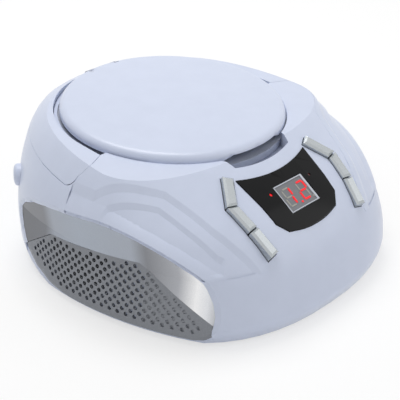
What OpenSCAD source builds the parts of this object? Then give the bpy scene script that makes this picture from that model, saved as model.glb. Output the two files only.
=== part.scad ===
/* [Body] */
// Width of the body at its waist, before the speaker walls are cut
body_w = 221; // [205:1:235]
// Height of the seam between the base and the top cover
seam_z = 13; // [11:0.5:16]
// Height of the waist, where the body is widest
waist_z = 26; // [22:1:30]
// Thickness of the moulded walls
wall = 2.4; // [2:0.1:3]
// Height of the base's floor above the ground, which is the height of the feet
foot_h = 2.2; // [1.5:0.1:4]
// How far the sides draw in from the waist down to the floor
side_tuck = 4.5; // [2:0.5:8]

/* [Front] */
// Radius of the front's upright curve
front_r = 77; // [72:0.5:82]
// Slope of the control panel, in degrees
front_slope = 30; // [26:1:34]
// Where the flat of the rear wall stands
rear_flat = 110.5; // [107:0.5:113]

/* [Lid and handle] */
// Radius of the round lid
lid_r = 71; // [68:0.5:73]
// Lid centre, behind the middle of the body
lid_y = 26; // [22:0.5:30]
// Height of the deck at the lid's centre
lid_z = 87; // [84:0.5:92]
// Tilt of the deck, lower at the front, in degrees
deck_tilt = 3.8; // [2:0.2:5]
// Gap round the lid
lid_gap = 1.2; // [0.8:0.1:2]
// Height of the lid's crown above the deck
lid_crown = 6.2; // [5:0.1:8]
// Height of the handle's band
handle_h = 13.5; // [12:0.5:15]
// How far the handle's two ends reach in front of the lid's centre
handle_front = 17.5; // [16:0.5:20]
// Width of the finger notch in front of the lid
notch_w = 44; // [36:1:50]

/* [Speakers] */
// Radius of the curved speaker walls, seen from above
pod_r = 205; // [190:1:230]
// Distance of the speaker wall's valley from the middle
pod_x = 100.4; // [97:0.1:103]
// Height of the valley between the trim and the grille
pod_z = 40; // [36:0.5:44]
// Lean of the trim, inwards towards the valley, in degrees
trim_lean = 7; // [4:0.5:10]
// Lean of the grille, outwards towards its foot, in degrees
grille_lean = 10; // [6:0.5:12]
// Thickness of the silver trim
trim_t = 2.2; // [1.6:0.1:2.6]
// Thickness of the perforated grille
grille_t = 1.4; // [1:0.1:1.8]
// Hole pitch along a row of the grille
hole_pitch = 5.6; // [5:0.1:8]
// Hole diameter in the grille
hole_d = 2.6; // [1.6:0.1:3]
// Outside diameter of a speaker
speaker_d = 50; // [44:1:52]

/* [Controls] */
// Width of a control button
button_w = 7; // [6:0.1:8]
// How far a button stands out of the panel
button_up = 2.4; // [1.6:0.1:3]
// Travel of a button
button_travel = 1.2; // [0.8:0.1:1.5]
// Volume knob diameter
knob_d = 14; // [12:0.5:16]
// How far the volume knob stands out of the body
knob_up = 2.6; // [2.4:0.1:4]

/* [Power and disc] */
// Diameter of one battery cell
cell_d = 26.2; // [25:0.1:27]
// Length of one battery cell
cell_l = 50; // [48:0.5:52]
// Diameter of the disc that the deck takes
disc_d = 120; // [120:0.5:122]
// Sled travel of the laser
sled_travel = 30; // [26:1:31]

/* [Hidden] */
// Running gap between pieces that move past each other
gap = 0.4;
// Gap between fixed pieces
seat = 0.15;
// Radial clearance of a shaft in its bore
run = 0.05;
$fn = 48;

// The body's sections: its front and rear halves meet on this line
split_y = -1;
front_power = 2.44;
rear_power = 2.27;
// The front's curve stands on the ground and runs into the panel's slope
front_cy = -33.6;
slope_y = front_cy - front_r * sin(front_slope);
slope_z = front_r * cos(front_slope);
// How the sides and the rear close in above the waist
side_rise = 95;
side_power = 2.05;
rear_reach = 89.7;
rear_rise = 67.5;
rear_round = 7.4;
// How far front and rear draw in below the seam, as a share
base_draw = 0.042;
// Points round a section, and the heights of the sections
ring = 56;
form_top = 93;
low_levels = [seam_z, 20, 28, 36, 44, 52, 59, 65, 70];
high_levels = [75, 79, 83, 86.5, 89.5, 91.5, form_top];
cover_levels = concat(low_levels, high_levels);
inner_levels = [seam_z - 1, 24, 36, 48, 59, 69, 78, 86, form_top];
handle_levels = concat([65, 70], high_levels);
terrace_levels = [for (z = cover_levels) if (z > 30) z];
base_levels = [foot_h, 4.5, 7, 10, seam_z];
lens_levels = [36, 44, 52, 59, 65, 70, 75, 79, 83];
foot_levels = [foot_h + 2, 7, 10];
pod_levels = concat(foot_levels, low_levels);
base_pod_levels = concat(foot_levels, [seam_z, 20]);
grille_levels = [for (z = pod_levels) if (z < 48) z];
far = 400;

// Speaker walls
pod_y = 15.4;
lip = 1;
grille_corners = [[-84, 15], [-41, 43.5], [28, 36.3], [56, 18]];
pod_in = trim_t + wall;
speaker_turn = -3.7;
speaker_drop = 9;
speaker_r = speaker_d / 2;
speaker_open = speaker_r - 2.5;
speaker_back = pod_in + 1.8;
magnet_r = 14;
magnet_top = 12;
magnet_h = 9;
hole_edge = 2.2;
blind_y = -45;
blind_deep = 0.7;

// Lid, well and handle, measured in the deck's own frame
well_r = lid_r + lid_gap;
collar_t = 2;
collar_h = 16;
handle_r = well_r + collar_t + 0.6;
handle_in = 3;
// The handle turns on round noses, wide enough for a quarter turn under the deck
pivot_end = 7.5;
pivot_y = pivot_end - handle_front;
pivot_z = -6;
nose_in = 0.2 - pivot_z * sqrt(2);
nose_lead = sqrt(nose_in * nose_in - pivot_z * pivot_z);
nose_mid = 13.3;
nose_mid_x = 86.8;
nose_out_x = 92.4;
pivot_r = 2.5;
pivot_out = 87;
hinge_y = lid_r - 2.6;
hinge_z = 1.5;
hinge_r = 2.4;
hinge_pin_r = 1.25;
hinge_half = 9;
ear_w = 3;
lid_skin = 2.2;
skirt_low = -1.5;
lip_up = 1.2;
notch_r = lid_r + 8;
notch_deep = 9;
deck_r = well_r - seat;
deck_rim = -4;
deck_floor = -8.5;
deck_t = 2.5;
recess_r = disc_d / 2 + 1.5;
lid_edge = 5;
hub_hole = 17;

// Control panel: the frame of the display and its board
panel_slope = 34;
panel_y = -75.9;
panel_z = 64.35;
lens_up = 0.4;
lens_t = 1.8;
lens_top_r = 86.6;
lens_foot_r = 88.6;
lens_foot_y = -2.9;
led_w = 25;
led_h = 19;
led_t = 8;
led_up = -0.5;
board_t = 1.6;
board_top = -17.6;
button_end = 0.4;
flange_up = -7.5;
// Corners of the strip of buttons on the panel, and how deep the surface lies there
strip = [[34.1, 27.5, -1.8], [44.9, 10.8, -1.8], [42.9, -6.4, -2.0], [39.7, -24.5, -4.4]];
switch_h = 4.3;
lamp_r = 1;
lamp_spots = [[-16.9, 6.2], [17.8, 6.4]];
seg_l = 5;
seg_w = 1.2;
seg_pitch = 5.6;
seg_places = [[0, 1, 0], [0.5, 0.5, 90], [0.5, -0.5, 90], [0, -1, 0],
    [-0.5, -0.5, 90], [-0.5, 0.5, 90], [0, 0, 0]];
board_posts = [[-22, -16], [22, -16], [-54, 4], [54, 4]];

// Crests of the two shoulder terraces, seen from above, and how far each lets the surface down
step_upper = [[96, 9.5], [95.7, -9.5], [92.8, -10.6], [77.3, -26.5], [71.3, -36.2], [69.5, -49.9],
    [66.6, -62.5], [61.5, -76.4], [55.8, -86.9], [50.6, -95.1]];
step_lower = [[96.7, -18.5], [94.2, -20.3], [81.8, -33.6], [78, -41.5], [76, -52], [73, -62.5], [68.5, -72],
    [63.4, -79], [69.7, -82.8], [78.6, -77.9]];
step_deep = [1, 2.2];
step_foot = 41;

// Disc drive, hung under the deck
plate_top = -23.5;
plate_t = 2;
rod_z = -19.2;
rod_y = 12;
rod_r = 1.5;
screw_y = 21;
sled_rest = 27;
sled_half = 10;
turret_top = -11.2;
damper_h = 5;
hub_top = -7;
motor_r = 11;
motor_h = 13;
post_r = 2;
damper_spots = [[34, -26], [34, 30], [-52, -26], [-48, 31]];
spindle_r = 1;

// Battery bay in the base
bay_w = 3 * cell_d + 2;
bay_l = 2 * cell_l + 8;
bay_h = cell_d + 1.5;
bay_y = 22;
bay_t = 2;
door_t = 2.2;
floor_z = foot_h + wall;
bay_top = foot_h + door_t + bay_h;
door_w = bay_w + 2.4;
door_front = bay_y - bay_l / 2 - 3.5;
door_back = bay_y + bay_l / 2 + 1.2;
hinge_edge = door_front + 1.8;
door_axis = foot_h + 1.6;
door_pin = 1;
head_z = 7;
main_z = 15;
board_pillars = [[-48, -78], [48, -78], [-40, -46], [40, -46]];
coil_at = [66, 50, floor_z];
screw_spots = [[-62, -60], [62, -60], [-58, 82], [58, 82]];
foot_spots = [[-66, -66], [66, -66], [-62, 62], [62, 62]];

// Rear wall fittings and the volume control
rear_in = rear_flat - wall;
fit_z = 40;
inlet_x = -20;
phones_x = 2;
line_x = 14;
slider_x = 29;
slider_travel = 4;
knob_at = [-85, 77.8, 52];
knob_turn = 48;
shaft_r = 3;
knob_in = 6;
knob_round = 2.2;
shaft_l = 14;
pot_t = 7;

function sgn_pow(v, p) = sign(v) * pow(abs(v), p);
function unit(v) = v / norm(v);
function left_of(v) = [-v[1], v[0]];
function side_half(z) = z > waist_z
    ? body_w / 2 * pow(1 - pow((z - waist_z) / side_rise, side_power), 1 / side_power)
    : body_w / 2 - side_tuck * pow((waist_z - z) / waist_z, 2);
function front_y(z) = z < slope_z
    ? front_cy - sqrt(front_r * front_r - z * z)
    : slope_y + (z - slope_z) / tan(front_slope);
function rear_y(z) = lid_y
    + rear_reach * pow(1 - pow(max(z - waist_z, 0) / rear_rise, rear_round), 1 / rear_round);
function draw_in(z) = 1 - base_draw * pow(max(seam_z - z, 0) / (seam_z - foot_h), 1.5);

// One section of the body, moved inwards by an even inset
function section(z, inset) = let (
    zz = min(z + inset, form_top),
    a = side_half(zz) - inset,
    f = split_y + (front_y(zz) - split_y) * draw_in(zz) + inset,
    k = split_y + (rear_y(zz) - split_y) * draw_in(zz) - inset)
    [for (i = [0 : ring - 1]) let (
        t = 360 * i / ring,
        n = sin(t) < 0 ? front_power : rear_power,
        b = sin(t) < 0 ? split_y - f : k - split_y)
        [a * sgn_pow(cos(t), 2 / n), split_y + b * sgn_pow(sin(t), 2 / n), z]];

// Whether a point lies inside the section at a height: less than 1 inside
function level(x, y, z) = let (
    n = y < split_y ? front_power : rear_power,
    b = y < split_y ? split_y - front_y(z) : rear_y(z) - split_y)
    pow(abs(x) / side_half(z), n) + pow(abs(y - split_y) / b, n);

// A closed loft through sections that all have the same number of points
module loft(sections) {
    m = len(sections);
    n = len(sections[0]);
    sides = [for (j = [0 : m - 2]) for (i = [0 : n - 1])
        let (a = j * n + i, b = j * n + (i + 1) % n)
        each [[a, a + n, b], [b, a + n, b + n]]];
    foot = [for (i = [1 : n - 2]) [0, i, i + 1]];
    top = [for (i = [1 : n - 2]) let (o = (m - 1) * n) [o, o + i + 1, o + i]];
    polyhedron(points = [for (s = sections) each s], faces = concat(sides, foot, top), convexity = 4);
}
module body_form(levels, inset = 0) loft([for (z = levels) section(z, inset)]);

module block(low, high) translate(low) cube(high - low);
module at_lid() translate([0, lid_y, lid_z]) rotate([deck_tilt, 0, 0]) children();
module at_panel() translate([0, panel_y, panel_z]) rotate([panel_slope, 0, 0]) children();
module below_deck(depth = 0) at_lid() translate([-far / 2, -far / 2, -far - depth]) cube(far);
module rear_limit(inset) translate([-far / 2, rear_flat - inset - far, -far / 2]) cube(far);
module mirrored() mirror([1, 0, 0]) children();
module both_sides() {
    children();
    mirrored() children();
}
module tube(r_out, r_in, h) difference() {
    cylinder(r = r_out, h = h);
    translate([0, 0, -1]) cylinder(r = r_in, h = h + 2);
}

// The curved walls of the speaker pods, as the solid behind them
module pod_wall(lean, inset)
    translate([pod_x, pod_y, pod_z]) rotate([0, lean, 0]) translate([-pod_r, 0, 0])
        cylinder(r = pod_r - inset, h = far, center = true, $fn = 180);
module pod_side(inset) {
    pod_wall(trim_lean, inset);
    pod_wall(-grille_lean, inset);
}
module behind_pods(inset) intersection() {
    pod_side(inset);
    mirrored() pod_side(inset);
}
module outer_form(levels) intersection() {
    body_form(levels);
    behind_pods(0);
    below_deck();
    rear_limit(0);
}
// The space that the trim and the grille fill, under a thin lip of the casing
module pod_pocket(levels) {
    difference() {
        body_form(levels, lip);
        behind_pods(trim_t);
    }
    both_sides() difference() {
        grille_prism(0);
        pod_wall(-grille_lean, trim_t);
    }
}
// The grille's outline, seen from the side, drawn as y to the right and z up
module grille_outline(grow)
    polygon([grille_corners[0] + [-grow, 0], grille_corners[1] + [-grow, grow],
        grille_corners[2] + [grow, grow], grille_corners[3] + [grow, 0],
        grille_corners[3] + [grow, -30], grille_corners[0] + [-grow, -30]]);
module grille_prism(grow) translate([60, 0, 0]) rotate([90, 0, 90]) linear_extrude(80) grille_outline(grow);
module at_speaker()
    translate([pod_x, pod_y, pod_z]) rotate([0, -grille_lean, 0]) translate([-pod_r, 0, 0])
        rotate([0, 0, speaker_turn]) translate([pod_r - speaker_back, 0, -speaker_drop]) rotate([0, 90, 0])
            children();

// One end of the handle's room: a round nose about the pivot, as a revolve along the pivot's axis
module handle_nose(grow) translate([0, pivot_y, pivot_z]) rotate([0, 90, 0]) rotate_extrude($fn = 96)
    polygon([[0, handle_r - 4], [nose_in + grow, handle_r - 4], [nose_in + grow, handle_r],
        [nose_mid + grow, nose_mid_x], [pivot_end + grow, nose_out_x], [pivot_end + grow, far / 2],
        [0, far / 2]]);
// The handle's room in the deck's frame, grown by a gap; it is open upwards and outwards
module handle_room(grow) at_lid() difference() {
    union() {
        block([-far / 2, pivot_y, -handle_h - grow], [far / 2, far / 2, 60]);
        both_sides() handle_nose(grow);
    }
    cylinder(r = handle_r - grow, h = far, center = true, $fn = 120);
    // Straight inner faces in front, so that the noses turn clear of the collar
    block([-handle_r + grow, -far / 2, -far / 2], [handle_r - grow, 0, far / 2]);
}
// The finger notch in front of the lid, in the deck's frame
module notch_room(grow) at_lid() intersection() {
    translate([0, 0, -notch_deep - grow]) cylinder(r = notch_r + grow, h = 30, $fn = 120);
    translate([0, 0, -notch_deep - grow]) linear_extrude(30)
        polygon([[-notch_w / 2 - 7 - grow, -lid_r + 11], [-notch_w / 2 + 1 - grow, -lid_r - 12],
            [notch_w / 2 - 1 + grow, -lid_r - 12], [notch_w / 2 + 7 + grow, -lid_r + 11]]);
}
// One terrace on each side: outside its crest the surface is let down, less where the side gets steep
module terrace(crest, deep) difference() {
    both_sides() translate([0, 0, step_foot]) linear_extrude(far)
        polygon(concat(crest, [[far, crest[len(crest) - 1][1]], [far, crest[0][1]]]));
    translate([0, 0, -deep]) body_form(terrace_levels);
}
// The display lens, seen from above
module lens_outline(grow) difference() {
    intersection() {
        translate([0, lens_foot_y]) circle(r = lens_foot_r + grow, $fn = 180);
        polygon([[-30.1 - grow, -50], [-30.1 - grow, -55.2], [-27 - grow, -83.4], [-20.9 - grow, -89.4],
            [-20.9, -100], [20.9, -100], [20.9 + grow, -89.4], [27 + grow, -83.4],
            [30.1 + grow, -55.2], [30.1 + grow, -50]]);
    }
    translate([0, lid_y]) circle(r = lens_top_r - grow, $fn = 180);
}
module lens_room(grow, depth) difference() {
    translate([0, 0, lens_levels[0] + 4]) linear_extrude(far) lens_outline(grow);
    body_form(lens_levels, depth);
}
module led_room(grow, up, deep)
    at_panel() block([-led_w / 2 - grow, -led_h / 2 - grow, -deep], [led_w / 2 + grow, led_h / 2 + grow, up]);

// The strip of buttons: the two edges of the strip at one corner, mitred
function strip_dir(i) = unit([strip[i + 1][0] - strip[i][0], strip[i + 1][1] - strip[i][1]]);
function mitre(i) = let (
    a = strip_dir(max(i - 1, 0)),
    b = strip_dir(min(i, len(strip) - 2)),
    m = unit(a + b))
    left_of(m) / (m * a);
// One button's plan between two corners: half its width, and the gap kept at its ends
function button_plan(i, half, cut) = let (
    d = strip_dir(i),
    p = [strip[i][0], strip[i][1]] + d * cut,
    q = [strip[i + 1][0], strip[i + 1][1]] - d * cut)
    [p - mitre(i) * half, q - mitre(i + 1) * half, q + mitre(i + 1) * half, p + mitre(i) * half];
function button_ring(i, half, cut, up) = let (
    b = button_plan(i, half, cut),
    z = [strip[i][2], strip[i + 1][2]])
    [for (k = [0 : 3]) [b[k][0], b[k][1], (k == 1 || k == 2 ? z[1] : z[0]) + up]];
function flat_ring(i, half, cut, z) = [for (p = button_plan(i, half, cut)) [p[0], p[1], z]];
function strip_mid(i) = [(strip[i][0] + strip[i + 1][0]) / 2, (strip[i][1] + strip[i + 1][1]) / 2];
module button_slot(i) loft([
    flat_ring(i, button_w / 2 + gap, 0, -14),
    flat_ring(i, button_w / 2 + gap, 0, 12)]);
// A bevelled cap with side flanges under the casing and a stem down to its switch
module button(i) at_panel() {
    loft([button_ring(i, button_w / 2, button_end, flange_up - 1),
        button_ring(i, button_w / 2, button_end, button_up - 1.2),
        button_ring(i, button_w / 2 - 1.3, button_end + 1.3, button_up)]);
    loft([button_ring(i, button_w / 2 + 1.3, button_end + 0.4, flange_up - 0.8),
        button_ring(i, button_w / 2 + 1.3, button_end + 0.4, flange_up)]);
    translate([strip_mid(i)[0], strip_mid(i)[1], 0])
        block([-2, -2, board_top + switch_h + button_travel + 0.2], [2, 2, -8]);
}

// What stands inside the top cover: the well's collar, the walls round handle and notch, posts and seats
module cover_inside() {
    at_lid() translate([0, 0, -collar_h]) cylinder(r = well_r + collar_t, h = 60, $fn = 120);
    handle_room(gap + wall);
    notch_room(wall);
    for (p = screw_spots) translate([p[0], p[1], 0]) cylinder(r = 4.5, h = far);
    at_panel() for (p = board_posts) translate([p[0], p[1], board_top + seat]) cylinder(r = 3, h = 40);
    both_sides() at_speaker() cylinder(r = speaker_r + 1, h = 30, $fn = 72);
}
module top_cover() color("lavender") difference() {
    outer_form(cover_levels);
    difference() {
        intersection() {
            body_form(inner_levels, wall);
            behind_pods(pod_in);
            below_deck(wall);
            rear_limit(wall);
        }
        cover_inside();
    }
    pod_pocket(pod_levels);
    at_lid() {
        translate([0, 0, 2 - collar_h]) cylinder(r = well_r, h = 60, $fn = 120);
        cylinder(r = well_r - 2.4, h = 80, center = true, $fn = 120);
        // The collar stands lower behind, where the handle lies beside it
        intersection() {
            translate([0, 0, -3]) cylinder(r = handle_r + 0.5, h = 60, $fn = 120);
            block([-far / 2, pivot_y - nose_lead - gap, -3], [far / 2, far / 2, 60]);
        }
        block([-handle_r - 0.5, pivot_y - nose_lead - gap, -3], [handle_r + 0.5, 0, 60]);
        translate([0, pivot_y, pivot_z]) rotate([0, 90, 0])
            cylinder(r = pivot_r + 0.02, h = 2 * pivot_out, center = true);
    }
    handle_room(gap);
    notch_room(0);
    lens_room(seat, lens_t - lens_up);
    led_room(seat, 20, 14);
    at_panel() for (p = lamp_spots) translate([p[0], p[1], -9]) cylinder(r = 2 + seat, h = 20);
    both_sides() {
        at_panel() for (i = [0 : 2]) button_slot(i);
        at_speaker() cylinder(r = speaker_open, h = 30, $fn = 72);
    }
    terrace(step_upper, step_deep[0]);
    terrace(step_lower, step_deep[1]);
    for (p = screw_spots) translate([p[0], p[1], 0]) cylinder(r = 1.5, h = 32);
    at_knob() cylinder(r = knob_d / 2 + gap, h = 40, center = true);
    rear_holes();
}

module base_tub() color("lavender") difference() {
    union() {
        difference() {
            outer_form(base_levels);
            intersection() {
                body_form([floor_z, 7, 10, seam_z + 1], wall);
                behind_pods(pod_in);
                rear_limit(wall);
            }
            pod_pocket(base_pod_levels);
        }
        block([-bay_w / 2 - bay_t, bay_y - bay_l / 2 - bay_t, foot_h],
            [bay_w / 2 + bay_t, bay_y + bay_l / 2 + bay_t, bay_top + bay_t]);
        block([-door_w / 2 - 4, door_front - 3, foot_h], [door_w / 2 + 4, door_front + 6, foot_h + 5]);
        for (p = screw_spots) translate([p[0], p[1], foot_h]) cylinder(r = 5.5, h = seam_z - foot_h);
        for (p = board_pillars) translate([p[0], p[1], foot_h]) cylinder(r = 3, h = main_z - foot_h);
    }
    block([-bay_w / 2, bay_y - bay_l / 2, 0], [bay_w / 2, bay_y + bay_l / 2, bay_top]);
    block([-door_w / 2 - gap, door_front - 1, 0],
        [door_w / 2 + gap, door_back + gap, foot_h + door_t + seat]);
    // Room for the door's hinge edge to turn up
    block([-door_w / 2 - gap, door_front - 1, 0], [door_w / 2 + gap, bay_y - bay_l / 2 + 1, foot_h + 4.4]);
    translate([0, hinge_edge, door_axis]) rotate([0, 90, 0])
        cylinder(r = door_pin + run, h = door_w + 5, center = true);
    for (p = screw_spots) translate([p[0], p[1], 0]) {
        cylinder(r = 1.8, h = seam_z + 1);
        cylinder(r = 3.5, h = head_z);
    }
    for (i = [-3 : 3]) for (x = [-62, 62])
        block([x - 9, 22 + i * 5 - 1, 0], [x + 9, 22 + i * 5 + 1, floor_z + 1]);
}

module trim() color("silver") difference() {
    intersection() {
        body_form(pod_levels, lip + seat);
        pod_side(0);
    }
    pod_side(trim_t - seat);
    grille_prism(gap / 2);
}
module left_trim() mirrored() trim();
module right_trim() trim();

// The perforated sheet; holes go through where the speaker is and are dimples in front of it
module grille() color("gray") difference() {
    intersection() {
        pod_wall(-grille_lean, 0.4);
        grille_prism(-gap / 2);
        body_form(grille_levels, lip + seat);
    }
    pod_wall(-grille_lean, 0.4 + grille_t);
    for (j = [-8 : 8]) for (i = [-18 : 12]) let (
        y = pod_y + (i + (j % 2 == 0 ? 0 : 0.5)) * hole_pitch,
        z = 26 + j * hole_pitch / 2)
        if (in_grille(y, z))
            translate([y < blind_y ? grille_x(y, z) - blind_deep : 60, y, z]) rotate([0, 90, 0])
            cylinder(d = hole_d, h = 60, $fn = 14);
}
// Where the grille's face stands at y, z
function grille_x(y, z) = pod_x - pod_r + sqrt(pow(pod_r - 0.4, 2) - pow(y - pod_y, 2))
    + (pod_z - z) * tan(grille_lean);
// Whether a hole at y, z stays clear of the grille's edges
function edge_side(p, q, y, z) = (q[0] - p[0]) * (z - p[1]) - (q[1] - p[1]) * (y - p[0]);
function clear_of(p, q, y, z) = edge_side(p, q, y, z) / norm(q - p) < -hole_edge;
function in_grille(y, z) = clear_of(grille_corners[0], grille_corners[1], y, z)
    && clear_of(grille_corners[1], grille_corners[2], y, z)
    && clear_of(grille_corners[2], grille_corners[3], y, z)
    && level(grille_x(y, z) + hole_edge, y + sign(y - split_y) * hole_edge, z) < 1
    && z > foot_levels[0] + hole_edge + 1;
module left_grille() mirrored() grille();
module right_grille() grille();

module speaker_frame() color("dimgray") at_speaker() rotate_extrude($fn = 72)
    polygon([[speaker_r, 0], [speaker_r, -1.4], [speaker_r - 3, -1.4], [magnet_r - 1, -magnet_top],
        [6, -magnet_top], [6, 1.4 - magnet_top], [magnet_r - 2, 1.4 - magnet_top], [speaker_r - 4.2, -1.4],
        [speaker_r - 4.2, 0]]);
module speaker_cone() color("black") at_speaker() rotate_extrude($fn = 72)
    polygon([[0, -5.4], [4, -6], [7, -8.2], [speaker_r - 7, -1.6], [speaker_r - 5.6, -0.9],
        [speaker_r - 4.25, -1.2], [speaker_r - 4.25, -0.4], [speaker_r - 5.6, -0.2], [speaker_r - 7, -0.8],
        [7, -7.2], [4, -5], [0, -4.4]]);
module speaker_magnet() color("gray") at_speaker() {
    translate([0, 0, -magnet_top - magnet_h]) cylinder(r = magnet_r, h = magnet_h);
    translate([0, 0, -magnet_top - 1]) cylinder(r = 5.8, h = 3.4);
}
module left_speaker_frame() mirrored() speaker_frame();
module right_speaker_frame() speaker_frame();
module left_speaker_cone() mirrored() speaker_cone();
module right_speaker_cone() speaker_cone();
module left_speaker_magnet() mirrored() speaker_magnet();
module right_speaker_magnet() speaker_magnet();

// The lid's half profile: a shallow dome, a rounded edge and a skirt
function dome_z(r) = lid_crown - 1.2 * pow(r / (lid_r - lid_edge), 2);
module lid_profile() polygon(concat(
    [for (i = [0 : 8]) let (r = (lid_r - lid_edge) * i / 8) [r, dome_z(r)]],
    [for (a = [15 : 15 : 90]) [lid_r - lid_edge + lid_edge * sin(a), lid_crown - 5.6 + 4.4 * cos(a)]],
    [[lid_r, skirt_low], [lid_r - lid_skin, skirt_low], [lid_r - lid_skin, lid_crown - 5.4]],
    [for (i = [8 : -1 : 0]) let (r = (lid_r - lid_edge) * i / 8) [r, dome_z(r) - lid_skin]]));
module lid() color("lavender") at_lid() difference() {
    union() {
        rotate_extrude($fn = 120) lid_profile();
        // Ring that keeps the disc down on its hub
        tube(19, 17, lid_crown - 1.5);
        intersection() {
            translate([0, hinge_y, hinge_z]) rotate([0, 90, 0])
                cylinder(r = hinge_r, h = 2 * hinge_half, center = true);
            cylinder(r = well_r - gap, h = 60, center = true, $fn = 120);
        }
    }
    for (s = [-1, 1]) translate([s * (hinge_half + gap + ear_w / 2), 0, 0])
        block([-ear_w / 2 - gap, lid_r - 6, -10], [ear_w / 2 + gap, lid_r + 5, 8]);
    translate([0, hinge_y, hinge_z]) rotate([0, 90, 0])
        cylinder(r = hinge_pin_r + run, h = 3 * hinge_half, center = true);
    // The front lip is raised over the finger notch, with sloped ends
    translate([0, -lid_r + 7, 0]) rotate([90, 0, 0]) linear_extrude(9)
        polygon([[-notch_w / 2 - 3, skirt_low - 4], [notch_w / 2 + 3, skirt_low - 4],
            [notch_w / 2 + 3, skirt_low],
            [notch_w / 2 - 4, lip_up], [-notch_w / 2 + 4, lip_up], [-notch_w / 2 - 3, skirt_low]]);
}
module lid_hinge_pin() color("silver") at_lid() translate([0, hinge_y, hinge_z]) rotate([0, 90, 0])
    cylinder(r = hinge_pin_r, h = 2 * (hinge_half + gap + ear_w), center = true);

module handle() color("lavender") difference() {
    intersection() {
        outer_form(handle_levels);
        handle_room(0);
    }
    // Hollow underside with walls all round
    intersection() {
        body_form(handle_levels, handle_in);
        at_lid() difference() {
            block([-far / 2, pivot_y + 14, -40], [far / 2, far / 2, -handle_in]);
            cylinder(r = handle_r + handle_in, h = far, center = true, $fn = 120);
        }
        rear_limit(handle_in);
    }
    at_lid() translate([0, pivot_y, pivot_z]) rotate([0, 90, 0])
        cylinder(r = pivot_r + run, h = 2 * pivot_out, center = true);
}
module handle_pins() color("silver") at_lid() both_sides()
    translate([well_r - 0.1, pivot_y, pivot_z]) rotate([0, 90, 0])
        cylinder(r = pivot_r, h = pivot_out - well_r);

module cd_deck() color("dimgray") at_lid() difference() {
    union() {
        rotate_extrude($fn = 120)
            polygon([[hub_hole, deck_floor - deck_t], [recess_r + deck_t, deck_floor - deck_t],
                [recess_r + deck_t, deck_rim - deck_t], [deck_r - 2, deck_rim - deck_t],
                [deck_r - 2, 2.1 - collar_h],
                [deck_r, 2.1 - collar_h], [deck_r, deck_rim], [recess_r, deck_rim],
                [recess_r, deck_floor], [hub_hole, deck_floor]]);
        for (s = [-1, 1]) translate([s * (hinge_half + gap + ear_w / 2), hinge_y, 0]) {
            translate([0, 0, hinge_z]) rotate([0, 90, 0]) cylinder(r = hinge_r, h = ear_w, center = true);
            block([-ear_w / 2, -hinge_r, deck_rim - 1], [ear_w / 2, hinge_r - 0.6, hinge_z]);
        }
        for (p = damper_spots) translate([p[0], p[1], plate_top]) {
            translate([0, 0, -5]) cylinder(r = post_r, h = damper_h + 6);
            translate([0, 0, damper_h]) cylinder(r = 4, h = deck_floor - deck_t - plate_top - damper_h + 1);
        }
    }
    translate([0, hinge_y, hinge_z]) rotate([0, 90, 0])
        cylinder(r = hinge_pin_r + 0.02, h = 100, center = true);
    block([-sled_rest - sled_travel - 8, -9, -30], [-hub_hole + 2, 9, 0]);
}

module lid_switch() color("black") at_lid() translate([30, -50, deck_floor - deck_t]) {
    block([-5, -3, -6], [5, 3, 0]);
}
module drive_plate() color("silver") at_lid() difference() {
    union() {
        block([-70, -32, plate_top - plate_t], [40, 36, plate_top]);
        for (x = [-72, -14.5]) block([x, -17, plate_top - plate_t], [x + 2.5, screw_y + 4, rod_z + 2.4]);
    }
    block([-69.5, -19, plate_top - 9], [-14.5, screw_y + 5, plate_top + 0.01]);
    for (y = [-rod_y, rod_y]) translate([-100, y, rod_z]) rotate([0, 90, 0]) cylinder(r = rod_r, h = 100);
    translate([-100, screw_y, rod_z]) rotate([0, 90, 0]) cylinder(r = rod_r + run, h = 100);
    block([-9, screw_y - 6, plate_top - 9], [15, screw_y + 6, plate_top + 0.8]);
    cylinder(r = 5, h = 100, center = true);
    for (p = damper_spots) translate([p[0], p[1], 0]) cylinder(r = post_r + gap, h = 100, center = true);
}
module drive_dampers() color("black") at_lid() for (p = damper_spots)
    translate([p[0], p[1], plate_top])
        rotate_extrude() polygon([[post_r + run, 0], [5, 0], [5, 1.6], [4, 2.2], [4, 2.8], [5, 3.4],
            [5, damper_h], [post_r + run, damper_h]]);
module spindle_motor() color("silver")
at_lid() translate([0, 0, plate_top - plate_t - motor_h]) difference() {
    cylinder(r = motor_r, h = motor_h);
    translate([0, 0, 2]) cylinder(r = spindle_r + run, h = motor_h);
}
module turntable() color("black") at_lid() {
    rotate_extrude($fn = 72) polygon([[0, hub_top - 3], [14, hub_top - 3], [14.5, hub_top - 2.5],
        [14.5, hub_top], [7.4, hub_top], [7.4, hub_top + 1.2], [5.6, hub_top + 4], [0, hub_top + 4]]);
    translate([0, 0, plate_top - plate_t - motor_h + 3])
        cylinder(r = spindle_r, h = hub_top - plate_top + plate_t + motor_h - 4);
}
module guide_rods() color("silver") at_lid() for (y = [-rod_y, rod_y])
    translate([-72, y, rod_z]) rotate([0, 90, 0]) cylinder(r = rod_r, h = 60);
module laser_sled() color("dimgray") at_lid() difference() {
    union() {
        block([-sled_rest - sled_half, -rod_y - 3, rod_z - 3.4],
            [-sled_rest + sled_half, rod_y + 3, rod_z + 3.4]);
        block([-sled_rest - 4, rod_y + 2, rod_z - 2.4], [-sled_rest + 4, screw_y + 3, rod_z + 2.4]);
        translate([-sled_rest, 0, rod_z]) cylinder(r = 6, h = turret_top - rod_z);
    }
    for (y = [-rod_y, rod_y]) translate([-100, y, rod_z]) rotate([0, 90, 0])
        cylinder(r = rod_r + run, h = 100);
    translate([-100, screw_y, rod_z]) rotate([0, 90, 0]) cylinder(r = rod_r + run, h = 100);
}
module laser_lens() color("steelblue") at_lid() translate([-sled_rest, 0, turret_top])
    rotate_extrude() polygon([[0, 0], [2.6, 0], [2.6, 0.6], [1.6, 1.1], [0, 1.3]]);
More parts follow.
